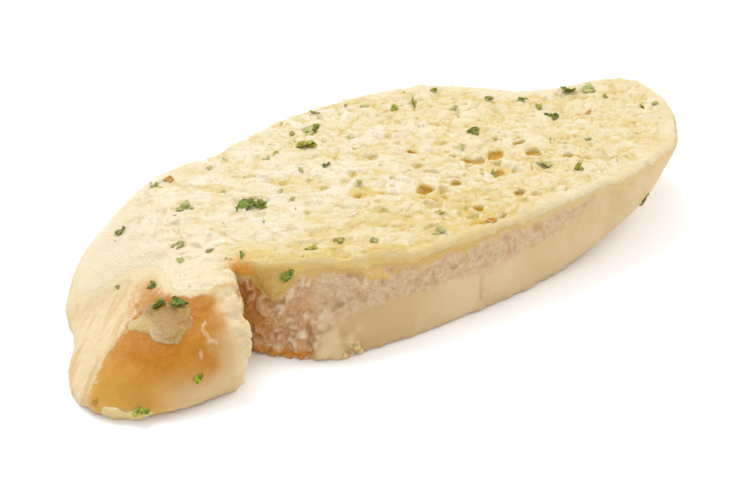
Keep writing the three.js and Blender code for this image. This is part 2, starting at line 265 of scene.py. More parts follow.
def lumps(points, size, seed):
    """Smooth noise from -1 to 1, with lumps of a size in millimetres."""
    grid = points / size
    cell = np.floor(grid)
    part = smooth(grid - cell, 0, 1)
    total = np.zeros(len(points))
    for corner in itertools.product((0, 1), repeat=3):
        weight = np.where(corner, part, 1 - part).prod(axis=1)
        total += weight * scatter(cell + corner, seed)
    return 2 * total - 1


def bubbles(points, size, seed):
    """The distance to the nearest of many scattered centres, and a number from 0 to 1 for that centre."""
    grid = points / size
    cell = np.floor(grid)
    nearest = np.full(len(points), np.inf)
    which = np.zeros(len(points))
    for step in itertools.product((-1, 0, 1), repeat=3):
        other = cell + step
        centre = other + np.stack([scatter(other, seed + axis) for axis in range(3)], axis=1)
        distance = np.linalg.norm(grid - centre, axis=1)
        which = np.where(distance < nearest, scatter(other, seed + 7), which)
        nearest = np.minimum(nearest, distance)
    return nearest * size, which


def pits(points, size, radius, share, seed):
    """Round hollows from 0 to 1 deep: a share of the bubbles is open, each to its own radius."""
    distance, which = bubbles(points, size, seed)
    reach = radius * (0.6 + 0.4 * np.modf(which * 7.31)[0])
    return np.sqrt(np.clip(1 - (distance / reach) ** 2, 0, 1)) * (which < share)


# %% [markdown]
# Where a finish or a form begins and ends follows from a distance: to a place, to a line or to an outline
# in plan. Painting by hand would do as well, but it would have to be done again for every new mesh. All
# distances are in millimetres.

# %% Distances
def from_place(points, place):
    """The distance of each point from a place in plan."""
    return np.hypot(points[:, 0] - place[0], points[:, 1] - place[1])


def from_segment(points, start, end):
    """The distance of each point from a straight line between two ends."""
    side = end - start
    part = np.clip((points - start) @ side / (side @ side), 0, 1)
    return np.linalg.norm(points - start - part[:, None] * side, axis=1)


def inside(points, outline):
    """How far inside a closed outline in plan each point lies; negative outside."""
    plan = points[:, :2]
    outline = np.array(outline, float)
    nearest = np.full(len(plan), np.inf)
    within = np.zeros(len(plan), bool)
    for start, end in zip(outline, np.roll(outline, -1, axis=0)):
        side = end - start
        nearest = np.minimum(nearest, from_segment(plan, start, end))
        crosses = (start[1] > plan[:, 1]) != (end[1] > plan[:, 1])
        rise = side[1] if side[1] else 1e-9
        within ^= crosses & (plan[:, 0] < start[0] + (plan[:, 1] - start[1]) * side[0] / rise)
    return np.where(within, nearest, -nearest)


# %% [markdown]
# ## Even skins
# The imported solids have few, large facets. A voxel remesh lays even quads over them, fine enough to carry
# crumb, and rounds of smoothing take the facets away. Blender's own smoothing would treat all points alike,
# so it is written out here with a share for each point. The solids themselves stay as they are.

# %% Meshes to arrays
def even_skin(node, voxel):
    """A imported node's surface in even quads of a size in millimetres, as points and faces."""
    work = bpy.data.objects.new("work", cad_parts[node].data.copy())
    scene.collection.objects.link(work)
    weld = work.modifiers.new("weld", "WELD")
    weld.merge_threshold = 0.01 * MM
    remesh = work.modifiers.new("quads", "REMESH")
    remesh.mode = "VOXEL"
    remesh.voxel_size = voxel * MM
    mesh = bpy.data.meshes.new_from_object(work.evaluated_get(bpy.context.evaluated_depsgraph_get()))
    bpy.data.objects.remove(work)
    points = np.empty(3 * len(mesh.vertices))
    faces = np.empty(len(mesh.loops), int)
    mesh.vertices.foreach_get("co", points)
    mesh.loops.foreach_get("vertex_index", faces)
    return points.reshape(-1, 3) / MM, faces.reshape(-1, 4)


def gathered(where, values, count):
    """Sums rows of values into as many rows as there are points."""
    return np.stack([np.bincount(where, column, count) for column in values.T], axis=1)


def relaxed(points, faces, share, rounds):
    """The points drawn towards the average of their neighbours, by a share, again and again."""
    sides = np.concatenate([faces[:, [i, (i + 1) % 4]] for i in range(4)])
    neighbours = np.bincount(sides[:, 0], minlength=len(points))[:, None]
    for _ in range(rounds):
        average = gathered(sides[:, 0], points[sides[:, 1]], len(points)) / neighbours
        points = points + share * (average - points)
    return points


def facing(points, faces):
    """The direction that the surface faces at each point."""
    across, along = (points[faces[:, i + 2]] - points[faces[:, i]] for i in (0, 1))
    normals = np.cross(across, along)
    total = gathered(faces.ravel(), np.repeat(normals, 4, axis=0), len(points))
    return total / np.linalg.norm(total, axis=1)[:, None]


# %% [markdown]
# Every piece goes the same way back into Blender: a mesh from the arrays, smooth shading, one finish, and
# its masks as numbers stored at the points. It rides on the part's one body and takes the place of the
# solids that it covers.

# %% A piece from arrays
def make_piece(name, points, faces, finish, masks, replaced=()):
    """A piece of the slice from points in millimetres, with a finish and the masks that it reads."""
    mesh = bpy.data.meshes.new(name)
    mesh.from_pydata((points * MM).tolist(), [], [list(face) for face in faces])
    mesh.shade_smooth()
    mesh.materials.append(finish)
    for mask, values in masks.items():
        mesh.attributes.new(mask, "FLOAT", "POINT").data.foreach_set("value", values.astype(np.float32))
    piece = bpy.data.objects.new(name, mesh)
    scene.collection.objects.link(piece)
    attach(piece, "root")
    if replaced:
        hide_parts(*replaced)
    print(name, len(mesh.vertices), "points,", sum(len(face) - 2 for face in faces), "triangles")
    return piece


# %% [markdown]
# ## Where the butter lies
# The knife spread the butter over the top and just over the edge, where it thins out. At the torn notch it
# ran down in a pointed drip. On the left it follows the slope of the crust down and fades out beside the
# browned lobe. Each point gets a signed distance to that edge, so that bread and butter agree on where one
# ends and the other begins.

# %% The butter's edge
BUTTER_PLAN = [
    (-66.5, 16), (-67.5, 8), (-66, 2), (-62, -1.5), (-57, -3.4), (-54.6, -7), (-54, -12), (-52.5, -17.5),
    (-49, -20.6), (-44.5, -21.6), (-40.4, -21), (-40.4, -60), (100, -60), (100, 60), (-66, 60),
]
NEAR_EDGE = [(-45, 16.3), (-10, 16.5), (12, 16.9), (32, 17.3), (80, 17.4)]
FAR_EDGE = [(-68, 4.5), (-60, 6.5), (-52, 9.5), (-44, 12.2), (-30, 15.4), (-10, 16.8), (80, 17.3)]
DRIP_PLACE = (-34.6, -22.6)
DRIP_REACH = 5.2
DRIP_FALL = 4.4


def drip_share(points):
    """1 at the point of the drip in the torn notch, falling evenly to 0 beside it."""
    return np.clip(1 - from_place(points, DRIP_PLACE) / DRIP_REACH, 0, 1)


def butter_inside(points, over_top):
    """How far inside the butter's edge each point of the bread's skin lies, in millimetres."""
    x, y, z = points.T
    teeth = lumps(points * (1, 1, 0.4), 1.4, 5)
    ragged = 0.3 * lumps(points, 7, 3) + 0.3 * lumps(points, 2.6, 4) + 0.5 * teeth
    far = np.interp(x, *zip(*FAR_EDGE))
    near = np.interp(x, *zip(*NEAR_EDGE))
    edge = near + (far - near) * smooth(y, -8, 8) - DRIP_FALL * drip_share(points)
    return np.minimum(z - edge + over_top + 0.8 * ragged, inside(points, BUTTER_PLAN) + ragged)


# %% [markdown]
# ## The open crumb
# The top of the slice was cut, so it shows the crumb: a few large pores, many small ones, and grains
# between them. The knife closed most of them on the left, and the far end has the finest crumb. The large
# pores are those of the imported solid. The others are bubbles, bent by noise so that none is a perfect
# circle.

# %% Pores
PORES = [
    [8.1, -10.8, 5.0, 4.0, 40], [23.3, -5.5, 5.5, 2.2, -35], [28.9, -6.2, 5.5, 2.6, 25],
    [36.9, -9.2, 3.6, 2.6, 20], [36.7, -3.9, 3.6, 2.2, 10], [15.0, -12.3, 2.6, 2.2, 0],
    [25.6, -12.9, 3.0, 2.2, 30], [24.8, -22.3, 3.0, 2.0, 15], [14.1, -23.4, 2.6, 2.0, 0],
    [14.3, 4.9, 3.0, 2.2, -20], [43.2, -14.4, 2.6, 2.0, 30],
]


def near_any(points, ellipses, outer, core):
    """1 inside any of the ellipses, fading to 0 outside; each is along, across, length, width and turn."""
    nearest = np.full(len(points), np.inf)
    for along, across, length, width, turn in ellipses:
        angle = math.radians(turn)
        u, v = points[:, 0] - along, points[:, 1] - across
        right = (u * math.cos(angle) + v * math.sin(angle)) / (length / 2)
        up = (v * math.cos(angle) - u * math.sin(angle)) / (width / 2)
        nearest = np.minimum(nearest, np.hypot(right, up))
    return smooth(nearest, outer, core)


def drift(points, amount, size, seed):
    """Steps in every direction, made by noise; added to points, they bend what is drawn with them."""
    return amount * np.stack([lumps(points, size, seed + axis) for axis in range(3)], axis=1)


def crumb_zones(points):
    """Shares of the creamy left, the porous middle and the fine far end; they add up to 1."""
    lean = points[:, 0] + 0.35 * points[:, 1] + 5 * lumps(points, 12, 91)
    creamy = smooth(lean, 6, -24)
    fine = smooth(lean, 36, 52)
    return creamy, (1 - creamy) * (1 - fine), fine


def top_hollows(points):
    """How far the pores sink below the top, in millimetres."""
    creamy, porous, fine = crumb_zones(points)
    flat = (points + drift(points, 1.3, 2.4, 92)) * (1, 1, 0.25)
    wide = pits(flat, 4.2, 1.7, 0.55, 111) * (0.35 + 0.65 * smooth(points[:, 1], 14, 2))
    middle = pits(flat, 2.8, 1.25, 0.5, 121)
    small = pits(flat, 1.5, 0.75, 0.6, 131)
    hollows = porous * (1.1 * wide + 0.5 * middle + 0.3 * small)
    hollows += creamy * (0.2 * wide + 0.3 * middle + 0.2 * small) + fine * (0.3 * middle + 0.45 * small)
    return hollows * (1 - near_any(points, PORES, 1.6, 1.0))


# %% [markdown]
# ## The skin that bread and butter share
# Both pieces start from the same skin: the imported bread, grown under the butter, with its pores sunk in.
# On the top it moves straight up and down, so that narrow pores don't close, and round the edge it moves
# along its normals.

# %% The shared skin
SMOOTHING = 0.5
ROUNDS = 8
FAR_WALL_ROUNDS = 60
FLAT_TOP = 17.6
RIM_ABOVE = 14.5
RIM_FROM = -38
PORE_FILLED = 0.15
GROWN = 0.8
WAVERING = 0.6
END_GROWN = 1.7


def slice_skin(voxel):
    """The bread's skin in even quads, with the distances and shares that both pieces read."""
    points, faces = even_skin("bread_slice", voxel)
    points = relaxed(points, faces, SMOOTHING, ROUNDS)
    far_wall = smooth(points[:, :1], 5, 30) * smooth(points[:, 2:], 4, 8) * smooth(points[:, 2:], 17, 16)
    points = relaxed(points, faces, SMOOTHING * far_wall, FAR_WALL_ROUNDS)
    points += facing(points, faces) * (1, 1, 0) * END_GROWN * smooth(points[:, :1], 42, 70)
    pored = near_any(points, PORES, 1.5, 1.0)
    sunk = np.clip(FLAT_TOP - points[:, 2], 0, 3)
    points[:, 2] += PORE_FILLED * pored * sunk * smooth(points[:, 2], 10, 12)
    normals = facing(points, faces)
    x, y, z = points.T
    turning = (normals[:, 2] > 0.3) & (normals[:, 2] < 0.75)
    edge = np.flatnonzero(turning & (z > RIM_ABOVE) & (x > RIM_FROM) & (pored < 0.01))
    rim = KDTree(len(edge))
    for index in edge:
        rim.insert(points[index], index)
    rim.balance()
    from_rim = np.array([rim.find(point)[2] for point in points])
    upward = smooth(normals[:, 2], 0.75, 0.95) * smooth(x, -58, -46)
    upward = np.maximum(upward, pored * smooth(z, 14, 15))
    shoulder = smooth(z, 17.55, 17.1) * smooth(y, -13, -17) * smooth(x, -39, -36) * (1 - pored)
    border = smooth(x, 5, 35)
    inner = smooth(from_rim, 0.4 + 0.6 * border, 1.8 + 2.6 * border) * upward * (1 - shoulder)
    lift = normals * (1 - inner[:, None]) + np.outer(inner, (0, 0, 1))
    lift /= np.linalg.norm(lift, axis=1)[:, None]
    depth = butter_inside(points, 0.7 * upward * np.minimum(from_rim, 4))
    hollows = inner * top_hollows(points)
    grown = points + inner[:, None] * drift(points, WAVERING, 1.7, 96) * (1, 1, 0)
    grown += lift * (GROWN * smooth(depth, -7.0, 1.5) - hollows)[:, None]
    skin = {"points": points, "grown": grown, "normals": normals, "lift": lift, "faces": faces}
    skin |= {"depth": depth, "from_rim": from_rim, "upward": upward, "inner": inner}
    return skin | {"shoulder": shoulder, "hollows": hollows}


# %% [markdown]
# ## The bread
# Crust, torn crumb and the pale split of the loaf are one piece of bread with different surfaces. Separate
# pieces would show seams, so it is one mesh. Each surface gets a mask from its place on the slice, and the
# relief follows the masks: cells, tufts and fibres where the crumb was torn, faint streaks where the crust
# split in the oven, and an almost smooth browned lobe.

# %% The bread's skin
BREAD_VOXEL = 0.52

skin = slice_skin(BREAD_VOXEL)
points, normals, depth = skin["points"], skin["normals"], skin["depth"]
x, y, z = points.T
wander = 0.8 * lumps(points, 5, 11) + 0.5 * lumps(points, 2, 12)
bare = smooth(depth, 0.5, -0.7)
underneath = smooth(normals[:, 2], -0.75, -0.9) * smooth(z, 1.0, 0.4)
print("bread points:", len(points))

# %% [markdown]
# The browned lobe is the end of the loaf. Its crust peeled into strands where it split, and the brown is
# deepest on the crown and fades out towards the spread, the notch and the foot. Its outline is drawn in
# plan with few points, and noise makes the edge wander, because a drawn edge would look cut.

# %% The browned lobe
BROWNED_PLAN = [
    (-80, -40), (-79, -25), (-74, -20.6), (-70.3, -17.8), (-65, -16.4), (-62, -12.5), (-59.5, -7),
    (-55.8, -4.8), (-52.6, -8.6), (-52.4, -16), (-51.6, -19.6), (-49.2, -22), (-47, -24), (-40, -26),
    (-40, -40),
]
LOBE_FROM = (-52, -58)
CROWN = (-58, -22)
CROWN_REACH = (16, 15)

lobeward = smooth(x, *LOBE_FROM)
from_split = inside(points, BROWNED_PLAN) + 0.6 * wander
swirls = smooth(lumps(points + drift(points, 1.5, 2.5, 13), 2.4, 14), -0.3, 0.4)
strands = lumps(np.column_stack([from_split, 0.15 * x, 0.15 * y]) + drift(points, 0.3, 3, 15), 1.2, 16)
browned = smooth(from_split + 1.8 * strands * lobeward, -0.8, 1.4)
browned *= smooth(x - 0.8 * (y + 29) + 2 * wander, -44, -53) * (1 - underneath)
browned *= 1 - (0.3 + 0.5 * swirls) * smooth(y, -17.5, -11)
browned *= 1 - 0.95 * smooth(z, 9.5, 3) * smooth(x, -68, -60)
browned *= 1 - 0.3 * smooth(z, 3.5, 0.8)
from_crown = np.hypot((x - CROWN[0]) / CROWN_REACH[0], (y - CROWN[1]) / CROWN_REACH[1])
toasted = smooth(from_crown + 0.25 * wander, 1.25, 0.5)
toasted *= 0.78 + 0.22 * np.maximum(smooth(x, -58, -53), smooth(z, 7, 11))
print("browned points:", int(browned.sum()))

# %% [markdown]
# The notch and the near side show torn crumb, above a line that rises to the right. Beside the notch the
# lobe is frayed, its far side is the pale split, and next to the spread the bread is soaked with butter.
# Each mask is a product of simple limits along the axes, because those are easy to move.

# %% Torn, split and soaked bread
TORN_FLOOR = [
    (-46, -6), (-32.5, -6), (-28.8, 6.5), (-26, 8.6), (-20.5, 9.8), (-11.9, 10.2), (7.8, 10.5), (18, 11.4),
    (29, 13.1), (37.5, 16.0), (42, 18),
]
NOTCH_EDGE = (-44.4, -43.0)
NOTCH_FROM = (-24, -31)
SLOPE_FROM = (-46, -52)
NEAR_SIDE_FROM = (-12, -16)

near_side = smooth(y, *NEAR_SIDE_FROM) * smooth(x + 0.5 * wander, *NOTCH_EDGE)
torn_face = smooth(z - np.interp(x + 1.6 * wander, *zip(*TORN_FLOOR)) + 1.2 * wander, -1.1, 0.9)
torn = near_side * torn_face * smooth(z, 17.4, 16.8) * (1 - underneath)
notched = smooth(x, *NOTCH_FROM)
split = smooth(x, -50, -56) * smooth(from_split, 1.6, -1.0) * (1 - underneath)
frayed = smooth(x - 0.15 * (y + 30) + wander, -49.5, -47) * smooth(x, -41.5, -43.5) * smooth(y, -18, -22)
on_slope = smooth(x, *SLOPE_FROM)
teeth = lumps(points * (1, 1, 0.3), 1.8, 17)
soaked = smooth(depth, -2.4 - 1.6 * on_slope + 0.5 * wander + teeth, 0.3) * (1 - underneath)
print("torn points:", int(torn.sum()), "soaked points:", int(soaked.sum()))

# %% [markdown]
# A few small things break up the crust: a crack where the loaf bent, a gap beside the torn crumb, thin
# peels of crust on the lobe, and runs of melted butter down the far end of the near side. Each is a short
# line, and its mask is the distance to that line. Peels are drawn in plan, the others as the near side is
# seen from the front.

# %% Lines on the crust
CRACK = [(8.0, 3.6), (8.0, 7.3), (8.3, 10.7)]
GAP = [(-31.3, 3.2), (-31.0, 5.5), (-31.2, 8.0)]
RUNS = [[(29.2, 13.8), (29.2, 11.0), (30.6, 7.6)], [(20.2, 12.8), (21.0, 8.6)], [(5.0, 14.0), (3.9, 10.8)]]
PEELS = [
    [(-52.9, -28.0), (-53.4, -29.6), (-53.4, -31.0), (-52.2, -32.0)], [(-55.6, -32.0), (-55.9, -32.4)],
]
FACING_NEAR_FROM = (-20, -25)


def near_line(plan, line, outer, core):
    """1 on a line of points, fading to 0 beside it."""
    ends = zip(np.array(line[:-1], float), np.array(line[1:], float))
    return smooth(np.min([from_segment(plan, start, end) for start, end in ends], axis=0), outer, core)


wavering = points + drift(points, 0.6, 1.6, 83)
from_front = wavering[:, [0, 2]]
facing_near = smooth(y, *FACING_NEAR_FROM) * (1 - underneath)
crack = near_line(from_front, CRACK, 0.7, 0.15) * facing_near
gap = near_line(from_front, GAP, 0.9, 0.2) * facing_near
runs = sum(near_line(from_front, run, 3.0, 0.3) for run in RUNS) * facing_near
peels = sum(near_line(wavering[:, :2], peel, 0.55, 0.1) for peel in PEELS) * smooth(z, 6, 9)
print("lines on the crust:", 2 + len(RUNS) + len(PEELS))

# %% [markdown]
# Torn crumb is cells and fibres, and in the notch it stands up in tufts. The crust beside the notch ends
# in floury lumps, and the foot of the near side is ragged. The lower face was cut, so it has only cells.
# Sculpting could make all this once, but made from noise it fits a finer or a coarser skin too.

# %% Textures of the bread
STREAK_ALONG = np.array([0.69, 0.66, 0.29])


def drawn_out(points, along, share):
    """The points with a share of one direction taken away, so that noise read there is longer that way."""
    return points - np.outer(points @ along, along) * share


def crust_streaks(points):
    """Fine streaks along the way that the crust stretched in the oven."""
    across = drawn_out(points, STREAK_ALONG, 0.88)
    return lumps(across, 1.5, 21) + 0.6 * lumps(across, 0.8, 22)


streaks = crust_streaks(points)
ragged = points + drift(points, 0.8, 1.8, 30)
fibres = np.abs(lumps(ragged, 1.3, 51))
crumb = 0.6 * pits(ragged, 3.2, 1.5, 0.35, 31) + 0.3 * pits(ragged, 1.3, 0.75, 0.7, 41) + 0.6 * fibres
tufts = smooth(lumps(ragged, 1.9, 52) + 0.7 * lumps(ragged, 0.9, 53), -0.1, 0.6)
cut_face = 0.5 * pits(ragged, 2.2, 1.0, 0.4, 61) + 0.25 * pits(ragged, 1.1, 0.6, 0.5, 71)
swell = 0.2 * lumps(points, 9, 81) + 0.1 * lumps(points, 3.5, 82)
flour = lumps(ragged, 2.4, 88)
crust_end = smooth(x + wander, -19, -25) * smooth(x, -33, -31) * facing_near * smooth(z, 9, 6) * (1 - torn)
ragged_foot = 0.6 * facing_near * smooth(z, 2.0, 0.4) * np.maximum(lumps(points * (1, 1, 0.3), 1.5, 87), 0)
curl = smooth(from_split, -0.4, 1.6) * smooth(from_split, 6.0, 2.0) * lobeward
print("crumb up to", crumb.max().round(2), "mm deep")

# %% Relief of the bread
tearing = torn * (1 - 0.6 * smooth(x, -8, 24)) * smooth(depth, -0.3, -1.8)
relief = swell * smooth(depth, 0.5, -3.0) - tearing * (0.1 + 0.75 * crumb)
relief += tearing * notched * (1.1 * tufts - 0.8)
relief += split * (0.12 * streaks + 0.4 * strands * smooth(from_split, -4.0, -0.5)) + 0.35 * curl
relief += 0.25 * peels + 0.1 * runs + frayed * (0.7 * fibres + 0.6 * lumps(points, 2.2, 86) - 0.35)
relief += 0.08 * (1 - torn) * lumps(points, 1.3, 85)
relief += crust_end * (0.5 * flour + 0.3 * lumps(points, 1.2, 89))
relief += ragged_foot
relief += browned * 0.06 * lumps(points, 1.4, 84) - 0.6 * crack * (1 - torn) - 0.9 * gap
relief = bare * relief - (0.1 + 0.2 * skin["inner"]) * (1 - bare)
relief = np.where(underneath > 0.5, -cut_face, relief)
bread_points = skin["grown"] + skin["lift"] * relief[:, None]
bread_points[:, 2] = np.maximum(bread_points[:, 2], 0)
print("relief from", relief.min().round(2), "to", relief.max().round(2), "mm")

# %% [markdown]
# The crust's colour comes from the oven: deep gold on the crown of the lobe, and pale and floury at the
# sides. The split is pale with darker streaks, and crinkles break up its border. A material for each would
# end in hard edges, so the masks blend them in one finish.

# %% Colours of the crust
bread_finish, shader, start = new_finish("bread")
pale = start.grain(9 * MM).rise(0.35, 0.65).blend(colour(228, 196, 146), colour(236, 208, 162))
speckle = start.grain(0.7 * MM, 2).rise(0.55, 0.75)
pale = (speckle * 0.25).blend(pale, colour(244, 222, 182))
# Darker towards the left of the near side
pale = start.mask("darker_near_left").blend(pale, colour(210, 174, 122))
pale = (start.mask("floury") * 0.6).blend(pale, colour(246, 222, 176))
brown = start.mask("toasted").blend(colour(226, 171, 74), colour(200, 126, 12))
brown = (start.grain(1.1 * MM, 4).rise(0.4, 0.7) * 0.25).blend(brown, colour(230, 174, 62))
crinkle = (start.grain(1.0 * MM, 4) - 0.5) * start.mask("crinkled")
crust = (start.mask("browned") + crinkle).blend(pale, brown)
fibre = start.grain(1.5 * MM).rise(0.35, 0.65).blend(colour(241, 214, 166), colour(246, 225, 183))
fibre = start.mask("streaked").blend(fibre, colour(228, 188, 134))
crust = (start.mask("split") - crinkle).blend(crust, fibre)
print("crust:", len(start.tree.nodes), "shader nodes")

# %% [markdown]
# The crumb is nearly white, and its cells look warm because light scatters in them. In the corner of the
# notch and between its tufts it gets an orange-brown painted shade, tinted by light from the golden crust,
# and its foot is partly a browned crust and partly a painted contact shadow. Next to the spread it takes on
# the butter's colour, so the two meet without a line. Bread is dry, so it has little shine.

# %% Colours of the crumb and the whole finish
wisps = start.grain(0.6 * MM, 4).rise(0.3, 0.7)
crumb_colour = wisps.blend(colour(228, 193, 151), colour(240, 215, 180))
pockets = start.grain(1.8 * MM, 4).rise(0.5, 0.68)
crumb_colour = (pockets * 0.4).blend(crumb_colour, colour(206, 158, 110))
crumb_colour = (start.mask("cells") * 0.7).blend(crumb_colour, colour(208, 164, 112))
crumb_colour = (start.mask("tufted") * 0.85).blend(crumb_colour, colour(249, 231, 197))
# Painted shade: orange-brown in the notch's corner, between its tufts and along its foot, paler on the
# wisps
crumb_colour = (start.mask("warm_shade_and_foot_crust") * (1 - wisps * 0.5)).blend(crumb_colour, colour(230, 154, 62))
base = start.mask("torn").blend(crust, crumb_colour)
butter_tint = start.mask("creamed").blend(colour(231, 190, 106), colour(247, 228, 184))
drive(shader, start, "Base Color", (start.mask("soaked").broken(1.0 * MM) * 0.85).blend(base, butter_tint))
drive(shader, start, "Roughness", 0.72 - start.mask("browned") * 0.25 - start.mask("soaked") * 0.2)
shader.inputs["Subsurface Weight"].default_value = 0.35
shader.inputs["Subsurface Radius"].default_value = (1.0, 0.55, 0.28)
shader.inputs["Subsurface Scale"].default_value = 1.2 * MM
shader.inputs["Specular IOR Level"].default_value = 0.2
bump(shader, start, start.grain(0.5 * MM, 4) * (0.35 + start.mask("torn") * 0.65), 0.4 * MM)
print("bread finish:", len(start.tree.nodes), "shader nodes")

# %% The bread with its masks
NOTCH_CORNER = (-41, -20)

corner = smooth(from_place(points, NOTCH_CORNER) + wander, 10, 3)
# Painted shade in the corner of the notch and between its tufts, tinted by light from the golden crust
shade_between_tufts = (0.8 * corner + 0.4 * notched) * (1 - 0.55 * tufts)
# Along the foot of the notch: partly a browned bottom crust, partly a painted contact shadow
foot_crust_and_shadow = 1.4 * smooth(z, 2.6, 0.8) * smooth(x, -26, -30)
bread_masks = {"browned": browned, "toasted": toasted, "torn": np.maximum(torn, underneath)}
bread_masks["split"] = np.clip(split + 0.6 * peels + 0.9 * frayed * (1 - torn), 0, 1)
bread_masks["cells"] = np.clip(np.where(underneath > 0.5, cut_face, crumb / 0.8 + gap), 0, 1)
bread_masks["floury"] = crust_end * smooth(flour, -0.5, 0.5)
bread_masks["tufted"] = torn * notched * tufts * (1 - 0.8 * corner)
# The notch's painted shade, and the foot's crust and contact shadow, in one mask
bread_masks["warm_shade_and_foot_crust"] = np.clip(shade_between_tufts + foot_crust_and_shadow, 0, 1.4) * torn
bread_masks["darker_near_left"] = 0.8 * smooth(x, 6, -24) * facing_near * smooth(x, -36, -32)
bread_masks["crinkled"] = 2.2 * smooth(np.abs(from_split - 0.4), 3.2, 0.8) * smooth(x, -53, -59)
bread_masks["streaked"] = 0.7 * smooth(streaks, 0.1, 1.0) * smooth(x, -54, -60) * smooth(z, 14, 10)
bread_masks["creamed"] = np.maximum(on_slope, 0.4 * smooth(x, 4, 30))
bread_masks["soaked"] = np.clip(0.9 * soaked + 0.4 * runs, 0, 1)
make_piece("bread", bread_points, skin["faces"], bread_finish, bread_masks, ["bread_slice"])

# %% [markdown]
# ## The butter
# Soft butter takes the shape of what it was spread on: it fills the small cells, sinks into the large pores
# and is dragged into smears by the knife. It is made from the same skin as the bread, lifted by the
# butter's thickness, and closed underneath so that it is a solid layer. Past its edge the layer dips just
# below the bread, so no border shows.

# %% A closed layer
LAYER_UNDER = -0.45
LAYER_MARGIN = -0.9
LAYER_DIP = -0.45


def closed_layer(skin, depth, over):
    """The part of a skin inside an edge, lifted, with an underside joined along its border."""
    kept = skin["faces"][(depth > LAYER_MARGIN)[skin["faces"]].all(axis=1)]
    used = np.unique(kept)
    order = np.full(len(depth), -1)
    order[used] = np.arange(len(used))
    faces, count = order[kept], len(used)
    sides = np.concatenate([faces[:, [i, (i + 1) % 4]] for i in range(4)])
    keys = np.sort(sides, axis=1) @ np.array([count, 1])
    _, first, times = np.unique(keys, return_index=True, return_counts=True)
    border = sides[first[times == 1]]
    edge = np.column_stack([border[:, 1], border[:, 0], border[:, 0] + count, border[:, 1] + count])
    heights = np.concatenate([over[used], np.full(count, LAYER_UNDER)])
    lift = np.tile(skin["lift"][used], (2, 1))
    points = np.tile(skin["grown"][used], (2, 1)) + lift * heights[:, None]
    return points, np.concatenate([faces, faces[:, ::-1] + count, edge]), np.tile(used, 2)


def thinning(depth, width, fullness, fall):
    """A share from 0 at the edge to 1 at a width inside it, and the layer's dip outside the edge."""
    part = np.clip(depth / width, 0, 1)
    return (1 - (1 - part) ** 2) ** fullness, LAYER_DIP * np.clip(-depth / fall, 0, 1)


# %% [markdown]
# The knife drew the butter out along the slice, so its smears are long. On the open crumb it is grainy,
# where it pooled it lies flat, and it thins out to nothing at its edge. The thickness is one sum of these,
# which is easier to balance than a stack of modifiers.

# %% Smears, grains and pools
BUTTER_VOXEL = 0.43
SMEAR_ALONG = np.array([0.87, -0.5, 0])
POOLS = [[-16.6, 6.5, 9.0, 5.0, -25], [-4.0, -6.0, 10.0, 5.0, -25], [-31.0, 12.0, 9.0, 4.0, -30]]
DESCENT_FROM = (-40, -46)

skin = slice_skin(BUTTER_VOXEL)
points, inner, upward, depth = skin["points"], skin["inner"], skin["upward"], skin["depth"]
x, y, z = points.T
creamy, _, fine = crumb_zones(points)
smeared = drawn_out(points, SMEAR_ALONG, 0.7)
loose = drawn_out(points, SMEAR_ALONG, 0.4) + drift(points, 0.5, 2.0, 93)
wide_grains = np.sqrt(lumps(loose, 1.7, 105) ** 2 + 0.02) - 0.1
small_grains = np.sqrt(lumps(loose, 0.95, 106) ** 2 + 0.02) - 0.1
wrinkles = smooth(np.abs(lumps(smeared + drift(points, 0.5, 2.5, 94), 2.6, 109)), 0.2, 0.0)
body = 0.28 * lumps(points, 8, 101) + 0.2 * lumps(smeared, 3.6, 102)
smears = 0.45 * lumps(smeared, 1.9, 103) + 0.25 * lumps(smeared, 1.0, 104) - 0.4 * wrinkles
grains = (0.6 - 0.3 * fine) * wide_grains + 0.65 * small_grains - 0.22
lip = 0.08 * smooth(skin["from_rim"], 0, 1.2) * smooth(skin["from_rim"], 3.6, 1.8) * upward
pooling = near_any(points + drift(points, 1.2, 3.0, 97), POOLS, 1.15, 0.5) * inner
pored = near_any(points, PORES, 1.15, 0.8) * inner
drip = drip_share(points) * (1 - upward)
running = np.clip(2 * drip, 0, 1)
slope = smooth(x, *DESCENT_FROM)
print("butter skin:", len(points), "points")

# %% Thickness of the butter
HIGHEST = 19.6

on_top = np.maximum(inner, 0.6 * smooth(z, 12.5, 16.5) * (1 - drip) * (1 - skin["shoulder"]))
over = 0.5 + body * (0.4 + 0.6 * upward) + lip + on_top * smears * (0.25 + 0.75 * creamy)
over += on_top * (1 - 0.6 * creamy) * (1 - pooling) * grains - 0.3 * pooling
over = np.maximum(over, 0.14) * (1 - pored) + 0.22 * pored
over += 0.3 * slope * crust_streaks(points)
feather = 1.6 + 1.4 * (1 - upward) + 2.0 * slope
fullness = 1.0 + 1.2 * slope + 0.6 * (1 - upward) * (1 - slope) * (1 - running) - 0.5 * running
fall = 0.4 + 1.0 * slope + 0.4 * (1 - upward) * (1 - slope)
share, sunk = thinning(depth, feather, fullness, fall)
over = over * (0.5 + 0.5 * upward) * share + sunk + 0.8 * drip * share
layer, layer_faces, used = closed_layer(skin, depth + 0.6 * slope, over)
layer[:, 2] = np.minimum(layer[:, 2], HIGHEST)
print("butter up to", over[used].max().round(2), "mm thick")
